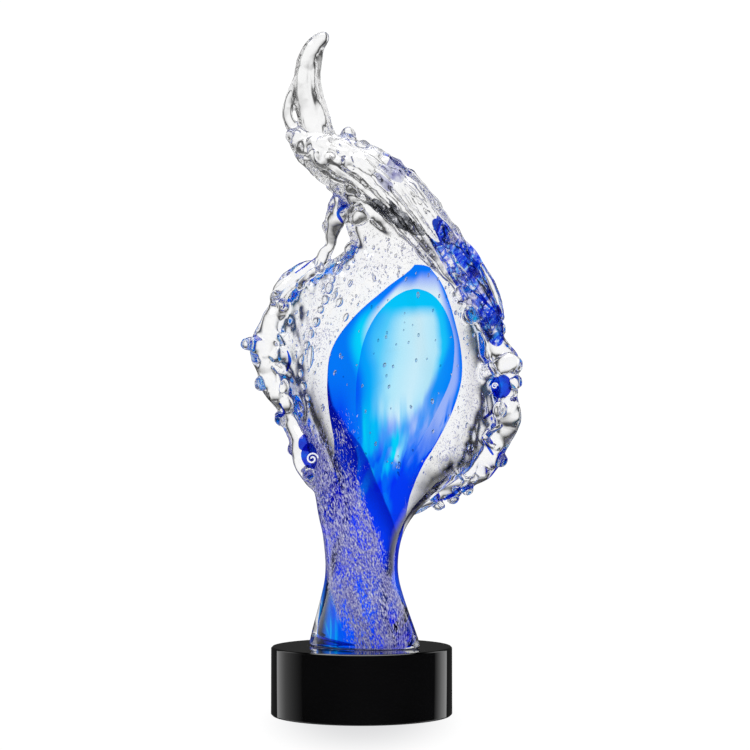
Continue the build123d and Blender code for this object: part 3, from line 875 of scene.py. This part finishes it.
def core_glass():
    """Blue overlay glass: cobalt in the stem and up the left, an azure rim round the leaf, lavender
    inside it, and flames of cyan and white that run down into the stem from an icy glow.

    Each colour is laid over the ones before it in a zone: a span of places across the gather, from
    -1 at its left edge to 1 at its right, and a span of heights in metres. Both are stirred with
    clouds that are drawn out upwards, so that the zones end in flames.
    """
    finish = Finish("blue_gather_glass")
    here = finish.place()
    height = finish.parts_of(here)["Z"]
    span, within, times = finish.span, finish.within, finish.times
    flames = finish.less(finish.noise(here, 140, stretch=(1, 1, 0.10)), 0.5)
    drift = finish.less(finish.noise(here, 46, stretch=(1, 1, 0.6)), 0.5)
    low = span(height, 0.196, 0.160)
    lick = times(flames, finish.plus(0.05, low, 0.55))
    unstirred = finish.across()
    across = finish.plus(unstirred, finish.plus(lick, drift, 0.16))
    climb = finish.plus(height, times(flames, low), 0.034)
    leftward = finish.plus(across, span(height, 0.180, 0.232, 0.0, 0.46))
    glow_end = finish.less(across, span(height, 0.165, 0.215, 0.40, 0.84))
    glow = times(span(leftward, -0.34, -0.10), span(glow_end, 0.07, -0.07))
    inside = times(span(across, -0.30, 0.10), span(across, 0.99, 0.90))
    leaf = finish.layered(
        finish.mix(span(climb, 0.160, 0.196), royal, azure),
        (times(span(across, -0.86, -0.52), span(climb, 0.130, 0.160)), azure),
        (times(inside, span(climb, 0.140, 0.168)), lavender),
        # A cyan edge and the icy glow within it
        (times(within(leftward, -0.46, -0.16, 0.12), within(climb, 0.142, 0.226, 0.010)), cyan),
        (times(glow, within(climb, 0.166, 0.240, 0.006)), ice),
        # Flames: cyan down both sides of the middle, and a white one at the right
        (times(within(across, -0.50, -0.10, 0.08), within(climb, 0.132, 0.170, 0.008)), cyan),
        (times(within(across, 0.12, 0.30, 0.05), within(climb, 0.122, 0.162, 0.008)), cyan),
        (times(within(across, 0.30, 0.46, 0.05), within(climb, 0.136, 0.160, 0.006)), flame_white),
    )
    # The twist's edge, with cobalt to its left
    fold = finish.ramp(span(height, 0.050, 0.190, smooth=False), twist_shares)
    past = finish.less(finish.plus(0.5, unstirred, 0.5), fold)
    behind = span(finish.plus(past, flames, 0.02), -0.012, 0.012)
    twist = finish.mix(behind, finish.mix(span(past, -0.02, -0.45), cobalt, royal), leaf)
    # The rim over the leaf's top and its right tip, and streaks of light in the foot
    foot = times(span(height, 0.082, 0.060), span(across, 0.05, 0.45))
    streaks = finish.noise(here, 260, stretch=(1, 1, 0.06), start=(0.1, 0, 0))
    colour = finish.layered(
        twist,
        (span(finish.plus(height, drift, 0.010), 0.243, 0.249), azure),
        (times(span(across, 0.955, 0.99), span(height, 0.180, 0.164)), royal),
        (foot, azure),
        (times(foot, span(streaks, 0.56, 0.66)), ice),
    )
    return finish.surface(finish.glass(colour, 1.0))


def heart_glass():
    """The heart: cyan at its skin, pale and nearly white inside, with streaks down its tail."""
    finish = Finish("turquoise_heart_glass")
    here = finish.place()
    height = finish.parts_of(here)["Z"]
    sway = finish.times(finish.less(finish.noise(here, 60), 0.5), 0.12)
    share = finish.plus(finish.plus(0.5, finish.across(), 0.5), sway, clamped=True)
    streaks = finish.noise(here, 190, stretch=(1, 1, 0.10))
    tail = finish.mix(finish.span(streaks, 0.42, 0.60), shade(120, 214, 255), shade(240, 252, 255))
    colour = finish.layered(
        finish.ramp(share, heart_stops),
        (finish.span(finish.plus(height, sway, 0.06), 0.220, 0.2285), shade(0, 208, 255)),
        (finish.span(height, 0.182, 0.160), tail),
    )
    return finish.surface(finish.glass(colour, 1.0))


def frit_finish():
    """A veil of white and lavender frit strokes drawn out along the twist, thickest well inside the
    band of its own map."""
    finish = Finish("frit_strokes")
    along = finish.leant(finish.place(), -16)
    strokes = finish.noise(along, 1650, 3.0, 0.7, stretch=(1, 1, 0.24))
    specks = finish.noise(along, 1500, 1.0, stretch=(1, 1, 0.5), start=(0.3, 0.1, 0))
    clouds = finish.noise(along, 110, stretch=(1, 1, 0.30))
    inside = finish.span(finish.wrap("band"), 0.0, 1.0, -0.34, 0.02, False)
    cover = finish.span(finish.plus(finish.plus(strokes, clouds, 0.55), inside), 0.71, 0.80)
    tone = finish.ramp(finish.plus(finish.times(strokes, 0.5), specks, 0.5), frit_stops)
    return finish.surface(finish.dull(tone, 0.5, Alpha=cover))


def seed_glass():
    """Air in a bubble inside the glass."""
    finish = Finish("seed_bubble_air")
    return finish.surface(finish.glass(white, 1 / 1.5))


def shoulder_glass():
    """Deep cobalt, broken by speckled patches of lavender and white frit and stripes of azure that
    run down its length."""
    finish = Finish("shoulder_cobalt_glass")
    along = finish.leant(finish.place(), -60)
    patches = finish.noise(along, 85, warp=1.0, stretch=(0.5, 1, 1))
    specks = finish.noise(along, 720, roughness=0.6, stretch=(0.6, 1, 1))
    stripes = finish.noise(along, 260, stretch=(0.14, 1, 1), start=(0.2, 0, 0.1))
    colour = finish.layered(
        shade(26, 28, 140),
        (finish.span(patches, 0.36, 0.46), shade(20, 52, 220)),
        (finish.span(stripes, 0.54, 0.60), shade(60, 150, 255)),
        (finish.span(patches, 0.50, 0.57), shade(182, 180, 226)),
        (finish.span(finish.plus(specks, patches, 0.6), 0.84, 0.90), shade(248, 249, 255)),
    )
    return finish.surface(finish.glass(colour, 1.0))


def clouded_finish(name, scale, dark, pale, roughness, **more):
    """A surface of two colours that drift into each other in faint clouds."""
    finish = Finish(name)
    colour = finish.mix(finish.noise(finish.place(), scale), dark, pale)
    return finish.surface(finish.dull(colour, roughness, **more))


def clouded_glass(name, scale, low, high, dark, pale):
    """Glass of two colours that drift into each other in clouds."""
    finish = Finish(name)
    clouds = finish.noise(finish.place(), scale)
    colour = finish.mix(finish.span(clouds, low, high), dark, pale)
    return finish.surface(finish.glass(colour, 1.0))


def smoke_glass():
    """A smoky patch inside the crest, speckled with fine bubbles."""
    finish = Finish("smoke_glass")
    here = finish.place()
    clouds = finish.noise(finish.leant(here, -32), 130, stretch=(0.35, 1, 1))
    colour = finish.layered(
        shade(62, 64, 70),
        (finish.span(clouds, 0.40, 0.60), shade(146, 148, 154)),
        (finish.span(finish.noise(here, 640, 1.5), 0.56, 0.62), shade(236, 236, 240)),
    )
    return finish.surface(finish.glass(colour, 1.0))


def mist_finish():
    """Fine seed in the casing, seen as grey and lavender specks too small to make one by one. It
    thins out where the piece's own map says that the blue gather is."""
    finish = Finish("fine_seed_mist")
    here = finish.place()
    specks = finish.noise(finish.leant(here, 20), 1500, 1.0, 0.4, stretch=(1, 1, 0.6))
    clouds = finish.noise(here, 55)
    beside = finish.span(finish.wrap(), 0.0, 1.0, 0.0, 0.5)
    cover = finish.times(finish.span(finish.plus(specks, clouds, 0.35), 0.80, 0.86), beside)
    tone = finish.mix(finish.span(clouds, 0.40, 0.60), shade(120, 120, 140), shade(170, 166, 214))
    return finish.surface(finish.dull(tone, 0.5, Alpha=cover))


# Pieces


def dress(piece, material, slot, *nodes):
    """Gives a piece its finish, its body and the solids that it stands for. The slot is not used."""
    piece.data.materials.clear()
    piece.data.materials.append(material)
    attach(piece, "root")
    if nodes:
        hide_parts(*nodes)


# The clear skin, melted together from the leaf, its trails, their cords and folds, and the lumps.
# Each trail's stations are followed by its rings and sides.
crest_stations = placed(crest_shares, (crest_width, crest_thickness))
horn_stations = placed(horn_shares, horn_size)
leaf_forms = [row[1:4] for row in leaf_shares]
skins = [
    gather_grid(gather_rows(leaf_forms, 0, 240), 200),
    trail_grid(rim_stations(left_rim_shares, -1), 260, 48, ripple=0.10, seed=3),
    trail_grid(rim_stations(right_rim_shares, 1), 260, 48, ripple=0.10, seed=4),
    trail_grid(placed(link_shares, rim_size), 120, 32, ripple=0.05, seed=5),
    trail_grid(crest_stations, 320, 160, crest_rods, 0.04, 0.07, 0.58, seed=6),
    trail_grid(horn_stations, 180, 90, horn_rods, 0.03, seed=7),
    trail_grid(placed(strand_shares, horn_size), 120, 32, ripple=0.05, seed=8),
    trail_grid(placed(spur_shares, rim_size), 90, 32, ripple=0.07, seed=9),
    trail_grid(placed(knob_shares, rim_size), 90, 32, ripple=0.07, seed=10),
]
skins += [trail_grid(cord_stations(crest_stations, *row, 4.0), 120, 16) for row in crest_cords]
skins += [trail_grid(cord_stations(horn_stations, *row, 3.0), 90, 16) for row in horn_cords]
for number, rows in enumerate(fold_shares):
    skins.append(trail_grid(placed(rows, rim_size), 70, 16, ripple=0.10, seed=40 + number))
skins += [drop_grid(*row[:4], flat=lump_flatness) for row in placed(drop_shares, bead_size)]
skins += lumps(lump_shares, lump_flatness)

# Crumpled lumps where the crest breaks, seated at random round its last rows
draws = np.random.default_rng(12)
for _ in range(crumple_count):
    place = draws.uniform(*crumple_rows)
    *middle, half_width, half_thickness = through(crest_stations, [place])[0]
    _, deep, side, _ = frame_along(through(crest_stations, [place - 0.1, place, place + 0.1])[:, :3])
    turn = draws.uniform(0, 2 * np.pi)
    reach = draws.uniform(0.70, 0.95)
    inward, sideways = half_thickness * math.cos(turn) * deep[1], half_width * math.sin(turn) * side[1]
    seat = middle + reach * (inward + sideways)
    size, tall, lean = draws.uniform(*crumple_sizes), draws.uniform(0.8, 1.6), draws.uniform(-60, 60)
    skins.append(drop_grid(*seat, size, tall, lean))

clear_skin = object_from("clear_glass_wave", skins)
fuse(clear_skin, skin_grain, rounds=3)
for row in skin_waves:
    wave(clear_skin, *row)
trails = ["left_rim", "right_rim", "left_link", "crest_band", "horn", "horn_strand"]
trails += ["left_spur", "right_knob"]
for side, count in (("crest", 2), ("left", 6), ("right", 5)):
    trails += [f"{side}_bead_{number}" for number in range(1, count + 1)]
dress(clear_skin, clear_glass(), "clear_glass", "clear_body", *trails)

core_grid = gather_grid(gather_rows(core_shares, 0, 180), 144)
core = object_from("blue_gather", [core_grid])
wrap_map(core, core_grid)
dress(core, core_glass(), "cobalt_glass", "cobalt_core")

# The heart closes in at its top as a dome
heart_rows = gather_rows(heart_shares, heart_start, 100)
heart_rows[:, 2:4] *= np.sqrt(1 - np.clip(np.linspace(-2.2, 1, len(heart_rows)), 0, 0.998) ** 2)[:, None]
heart_grid = gather_grid(heart_rows, 112)
heart = object_from("turquoise_heart", [heart_grid])
wrap_map(heart, heart_grid)
dress(heart, heart_glass(), "aqua_glass", "aqua_heart")

# The veil lies on the blue gather up to the leaf, and reaches out beyond it into the leaf's left
# margin. Its band map is how far inside the frit's band a point lies, from below 0 outside to 1
# well inside.
veil_rings, veil_sides = 160, 144
veil_places = np.linspace(0, veil_top, veil_rings)
veil_rows = gather_rows(core_shares, 0, veil_rings, veil_top)
spread = np.interp(veil_places, *np.transpose(veil_spread))
veil_rows[:, 2] += veil_gap + spread / 2
veil_rows[:, 1] -= spread / 2 * np.cos(np.radians(veil_rows[:, 4]))
veil_rows[:, 3] += veil_gap
veil_grid = gather_grid(veil_rows, veil_sides)
veil = object_from("frit_veil_glass", [veil_grid])
angle_round = np.linspace(0, 360, veil_sides + 1)[None, :]
edge_places, low_edge, high_edge = np.transpose(veil_edges)
low_edge, high_edge = (np.interp(veil_places, edge_places, edge)[:, None] for edge in (low_edge, high_edge))
band = np.minimum((angle_round - low_edge) / low_fade, (high_edge - angle_round) / high_fade)
band = np.minimum(band, (veil_top - 0.05 - veil_places)[:, None] / top_fade)
wrap_map(veil, veil_grid, np.clip(band, -1, 1), "band")
dress(veil, frit_finish(), "frit", "frit_veil")

shoulder_stations = placed(shoulder_fill_shares, centimetre)
shoulder_grid = trail_grid(shoulder_stations, 140, 80, [(5, 0.14, 0.3)], 0.06, seed=11)
dress(object_from("cobalt_shoulder", [shoulder_grid]), shoulder_glass(), "shoulder_glass", "shoulder_band")

wisps = [placed(rows, wisp_size) for rows in wisp_shares]
wisps = [trail_grid(rows, 50, 12, ripple=0.2, seed=70 + number) for number, rows in enumerate(wisps)]
wisps += lumps(eye_shares, eye_flatness)
wisp_glass = clouded_glass("blue_wisp_glass", 150, 0.45, 0.62, shade(44, 62, 206), shade(26, 112, 240))
dress(object_from("blue_wisps", wisps), wisp_glass, "cobalt_glass")
threads = [trail_grid(swirl_stations(*row), 120, 10) for row in swirl_places]
thread = clouded_finish("white_thread", 400, shade(214, 218, 240), white, 0.3)
dress(object_from("white_swirls", threads), thread, "frit")
dress(object_from("crest_smoke", [drop_grid(*smoke_drop, 24, 32)]), smoke_glass(), "clear_glass")
mist_glass = clouded_glass("lavender_mist_glass", 160, 0.42, 0.60, shade(150, 150, 196), shade(214, 216, 232))
dress(object_from("crest_mist", [drop_grid(*mist_drop, 24, 32)]), mist_glass, "clear_glass")

# Fine seed half way between the blue gather and the skin. Its map is how far beside the gather a
# point lies, from 0 over it to 1 where the seed is at its fullest.
seed_rows = gather_rows(leaf_forms, 0, sheet_rings, sheet_top)[sheet_start:]
core_rows = gather_rows(core_shares, 0, sheet_rings, core_top)
levels, core_levels = seed_rows[:, 0], core_rows[:, 0]
middle, reach, inside = (np.interp(levels, core_levels, core_rows[:, k], right=0.0) for k in (1, 2, 3))
seed_rows[:, 3] = np.maximum((seed_rows[:, 3] + inside) / 2, sheet_thickness)
seed_rows[:, 2] *= sheet_length
seed_grid = gather_grid(seed_rows, 120)
fine_seed = object_from("fine_seed", [seed_grid])
from_core = (np.abs(seed_grid[:, :, 0] - middle[:, None]) - reach[:, None]) / sheet_fade
from_core = np.concatenate([from_core, from_core[:, :1]], axis=1)
wrap_map(fine_seed, seed_grid, np.clip(from_core, 0, 1))
dress(fine_seed, mist_finish(), "clear_glass")

# Seed bubbles in the leaf, a few dozen faces each, and the chain of larger ones at its left. Most
# lie beside the blue gather, and two in three before it rather than behind.
draws = np.random.default_rng(21)
seeds = lumps(chain_shares, lump_flatness, 12, 16)
while len(seeds) < seed_count:
    row = draws.uniform(*seed_stations)
    height, middle, half_length, half_thickness, _, lens = through(leaf_shares, [row])[0]
    share = draws.uniform(-seed_reach, seed_reach)
    outer = half_thickness * glass_depth * (1 - share * share) ** (0.5 * (1 + max(lens, 0)))
    core_middle, core_half, core_thick = through(core_shares, [min(row, core_top)])[0]
    x = (middle + share * half_length) * glass_width
    beside = min(abs(x / glass_width - core_middle) / max(core_half, 0.01), 1)
    inner = core_thick * glass_depth * (1 - beside**2) ** 0.5 if row < len(core_shares) - 1 else 0
    if beside < 0.98 and draws.uniform() < left_out:
        continue
    depth = inner + 0.0006 + draws.uniform(0.1, 0.8) * max(outer - inner - 0.002, 0)
    if draws.uniform() < lie_behind:
        depth = -depth
    size = draws.choice(seed_sizes, p=seed_odds)
    z = foot_level + height * glass_height
    seeds.append(drop_grid(x, -depth, z, size, draws.uniform(1.5, 2.2), draws.normal(14, 8), 0.9, 6, 8))
dress(object_from("seed_bubbles", seeds), seed_glass(), "clear_glass")

# Base: a round block turned from its profile, with a polished chamfer. Its corners are given in
# chamfers, inward from the side and from the underside or the top. Each edge of the chamfer has a
# second corner close by, which keeps the shading flat between them.
below = [(1.0, 0.0), (0.02, 0.98), (0.0, 1.1)]
above = [(0.0, 1.1), (0.02, 0.98), (0.98, 0.02), (1.1, 0.0), (2.0, 0.0)]
profile = [(inward, base_chamfer * up) for inward, up in below]
profile += [(inward, base_height - base_chamfer * down) for inward, down in above]
inward, level = np.array(profile).T[:, :, None]
radius = base_radius - base_chamfer * inward
turns = np.linspace(0, 2 * np.pi, 256, endpoint=False)[None, :]
block_grid = np.stack([radius * np.cos(turns), radius * np.sin(turns), level + 0 * turns], axis=-1)
blacks = (0.0012, 0.0012, 0.0014, 1), (0.0022, 0.0022, 0.0026, 1)
crystal = clouded_finish("black_crystal", 40, *blacks, 0.015, IOR=1.55)
dress(object_from("black_crystal_base", [block_grid]), crystal, "black_crystal", "base_block")

# The film that holds the glass to its base keeps its solid's own mesh
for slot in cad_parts["bond_film"].material_slots:
    slot.material = clouded_finish("bond_resin", 200, shade(60, 62, 74), shade(84, 86, 100), 0.15)

# Studio

# What mirrors see, by the bearing from straight behind the piece to the camera's side, from 0 to 1:
# dark paper behind, and on each side a soft panel that starts sharply and fades towards the camera
left_panel = [
    (0.0, 0.03), (0.246, 0.03), (0.250, 1.0), (0.38, 0.40), (0.55, 0.05), (0.553, 0.02), (1.0, 0.03),
]
right_panel = [
    (0.0, 0.03), (0.234, 0.03), (0.238, 1.0), (0.32, 0.80), (0.41, 0.10), (0.413, 0.02), (1.0, 0.03),
]

# What glass bends into view, by the bearing from straight behind or before it to the side, and by
# the rise from straight below to straight above
flags = [
    (0.0, 1.0), (0.20, 0.98), (0.27, 0.80), (0.325, 0.24),
    (0.35, 0.03), (0.41, 0.08), (0.47, 0.95), (1.0, 0.85),
]
dim_zone = [(0.0, 1.0), (0.5, 1.0), (0.58, 0.96), (0.64, 0.60), (0.70, 0.06), (0.79, 0.16), (0.85, 1.0)]


def mirrored_light(finish, place):
    """What mirrors see in a direction."""
    axes = finish.parts_of(place)
    bearing = finish.sums("ARCTAN2", finish.sums("ABSOLUTE", axes["X"]), axes["Y"])
    bearing = finish.sums("DIVIDE", bearing, math.pi)
    right = finish.sums("GREATER_THAN", axes["X"], 0.0)
    return finish.mix(right, finish.ramp(bearing, left_panel), finish.ramp(bearing, right_panel))


def bent_light(finish, place):
    """What glass bends into view from the sides: white behind, and a grey flag at either side."""
    axes = finish.parts_of(place)
    bearing = finish.sums("ARCTAN2", finish.sums("ABSOLUTE", axes["X"]), finish.sums("ABSOLUTE", axes["Y"]))
    return finish.ramp(finish.sums("DIVIDE", bearing, math.pi / 2), flags)


def by_light(finish, seen, scattered, mirrored, bent):
    """One shader for each way that light comes: straight from the camera, off a dull surface, off a
    mirroring one, and through glass."""
    ray = finish.node("ShaderNodeLightPath").outputs
    off_mirror = finish.sums("SUBTRACT", ray["Is Glossy Ray"], ray["Is Transmission Ray"], clamped=True)
    off_dull = finish.sums("GREATER_THAN", ray["Diffuse Depth"], 0.5)
    inside = finish.either(off_dull, finish.either(off_mirror, bent, mirrored), scattered)
    return finish.either(ray["Is Camera Ray"], inside, seen)


def studio_floor():
    """Pale sweep under the piece, with painted grey shade round the base, darkest in front of it,
    that stands in for the base's contact shadow and faint reflection. Mirrored light goes through it,
    so that the base's side shows the studio's own panels."""
    bpy.ops.mesh.primitive_plane_add(size=6, location=(0, 0, 0))
    floor = bpy.context.object
    floor.name = "studio_floor"
    finish = Finish("white_sweep")
    here = finish.place()
    # Painted shade: the floor's white turns grey round the base and in front of it, for the base's contact
    # shadow and reflection
    base_shade_reach = finish.moved(here, (0, -0.012, 0), scale=(0.066, 0.19, 1e6), kind="TEXTURE")
    base_shade_reach = finish.node("ShaderNodeTexGradient", {"Vector": base_shade_reach}, gradient_type="SPHERICAL").outputs["Fac"]
    sweep = finish.mix(finish.span(base_shade_reach, 0.0, 0.8), (1.03, 1.03, 1.03, 1), (0.74, 0.74, 0.75, 1))
    clear = finish.node("ShaderNodeBsdfTransparent").outputs[0]
    bent = finish.light(bent_light(finish, here))
    floor.data.materials.append(
        finish.surface(by_light(finish, finish.light(sweep), finish.light(white), clear, bent))
    )


def studio_world():
    """White paper behind and soft panels round the glass.

    The camera sees plain white. Light bent through the glass sees white behind, grey flags at
    either side and a dim zone above the panels, which draw the contours of clear glass. Mirrored
    light sees a panel at each side and one overhead. Dull surfaces get even white light.
    """
    world = bpy.data.worlds.new("white_studio")
    bpy.context.scene.world = world
    finish = Finish("white_studio", world)
    way = finish.node("ShaderNodeTexCoord").outputs["Generated"]
    rise = finish.plus(0.5, finish.parts_of(way)["Z"], 0.5)
    bent = finish.mix(1.0, bent_light(finish, way), finish.ramp(rise, dim_zone), "MULTIPLY")
    panels = finish.ramp(rise, [(0.0, 1.0), (0.78, 1.0), (0.86, 0.0), (1.0, 0.0)])
    panels = finish.mix(1.0, mirrored_light(finish, way), panels, "MULTIPLY")
    mirrored = finish.mix(1.0, panels, finish.times(finish.span(rise, 0.90, 0.93), 3.0), "ADD")
    shown = [(white, 1.03), (white, 1.25), (mirrored, 1.5), (bent, 1.0)]
    shown = [finish.light(colour, strength, "ShaderNodeBackground") for colour, strength in shown]
    finish.surface(by_light(finish, *shown))


studio_floor()
studio_world()

# The camera, level with the top of the stem and looking a little up: place in metres, tilt from
# straight down in degrees, and focal length and frame width in millimetres
camera_place = (0.0075, -1.1, 0.138)
camera_tilt = 92.73
focal_length, frame_width = 93.46, 36

lens = bpy.data.cameras.new("studio_camera")
lens.lens = focal_length
lens.sensor_width = frame_width
camera = bpy.data.objects.new("studio_camera", lens)
camera.location = camera_place
camera.rotation_euler = (math.radians(camera_tilt), 0, 0)
bpy.context.scene.collection.objects.link(camera)
scene = bpy.context.scene
scene.camera = camera
scene.view_settings.view_transform = "Standard"
scene.cycles.max_bounces = 24
scene.cycles.transmission_bounces = 24
scene.cycles.transparent_max_bounces = 32
scene.cycles.glossy_bounces = 8
